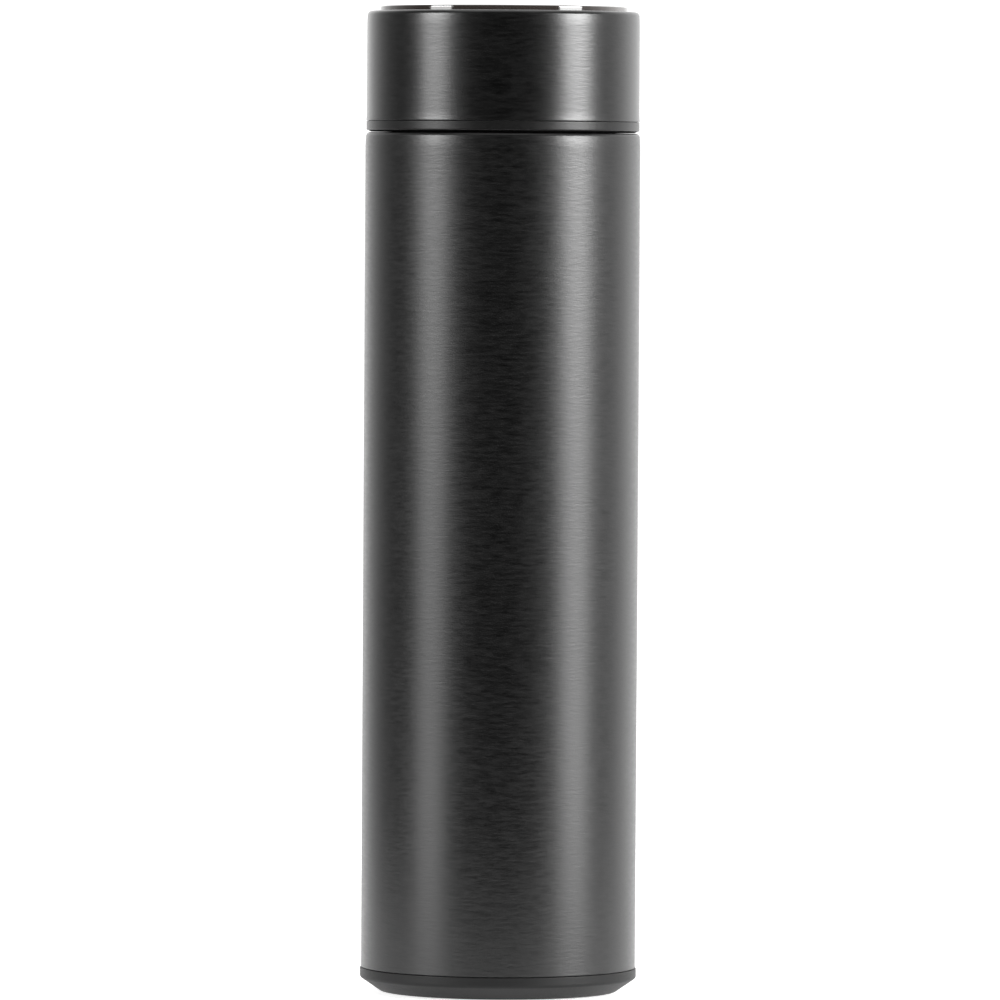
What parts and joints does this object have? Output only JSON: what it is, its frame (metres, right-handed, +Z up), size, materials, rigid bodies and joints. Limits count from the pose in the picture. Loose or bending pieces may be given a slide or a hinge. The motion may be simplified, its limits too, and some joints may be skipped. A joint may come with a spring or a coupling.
{
  "type": "vacuum flask",
  "caption": "Slim double-walled vacuum flask with a black steel body and a screw lid that carries a domed temperature display inside a glossy ring.",
  "frame": {"origin": "middle of the foot, on the surface that the flask stands on", "axes": "+Z up along the flask's axis; the display's digits read from -Y"},
  "size_m": [0.0654, 0.0654, 0.2348],
  "materials": {
    "black_coating": "satin",
    "trim_plastic": "matte",
    "cap_plastic": "satin",
    "bezel_gloss": "gloss",
    "lens_gloss": "gloss",
    "bare_steel": "satin",
    "copper_foil": "satin",
    "getter_alloy": "matte",
    "braze": "satin",
    "seal_silicone": "satin",
    "pad_silicone": "matte",
    "white_foam": "matte",
    "white_tape": "matte",
    "tray_plastic": "matte",
    "cell_can": "satin",
    "nickel_strip": "satin",
    "board_laminate": "satin",
    "chip_epoxy": "matte",
    "component_ceramic": "satin",
    "display_plastic": "satin",
    "spring_wire": "satin",
    "screw_steel": "satin",
    "probe_epoxy": "satin",
    "wire_jacket": "satin"
  },
  "bodies": {
    "flask": {"base_pad": "pad_silicone", "base_cover": "trim_plastic", "outer_bottom": "bare_steel", "vacuum_seal": "braze", "getter": "getter_alloy", "outer_shell": "black_coating", "radiation_foil": "copper_foil", "liner_bottom": "bare_steel", "inner_liner": "bare_steel"},
    "seal": {"lid_seal": "seal_silicone"},
    "lid": {"inner_cap": "cap_plastic", "sensor_plate": "bare_steel", "sensor_gasket": "seal_silicone", "thermistor": "probe_epoxy", "sensor_leads": "wire_jacket", "foam_plug": "white_foam", "component_tray": "tray_plastic", "battery": "cell_can", "battery_tab_positive": "nickel_strip", "battery_tab_negative": "nickel_strip", "circuit_board": "board_laminate", "controller_chip": "chip_epoxy", "board_components": "component_ceramic", "display_module": "display_plastic", "touch_spring": "spring_wire", "board_screws": "screw_steel", "lid_trim": "trim_plastic", "lid_shell": "black_coating", "bezel_ring": "bezel_gloss", "lens_tape": "white_tape", "display_lens": "lens_gloss"}
  },
  "joints": [
    {"name": "lid_rise", "type": "slide", "parent": "flask", "child": "seal", "axis": [0, 0, 1], "range_m": [0, 0.02001]},
    {"name": "lid_turn", "type": "hinge", "parent": "seal", "child": "lid", "pos_m": [0, 0, 0.2195], "axis": [0, 0, 1], "range_deg": [0, 1800]}
  ],
  "couplings": [
    {"joint": "lid_rise", "follows": "lid_turn", "m_per_rad": 0.00063662}
  ]
}
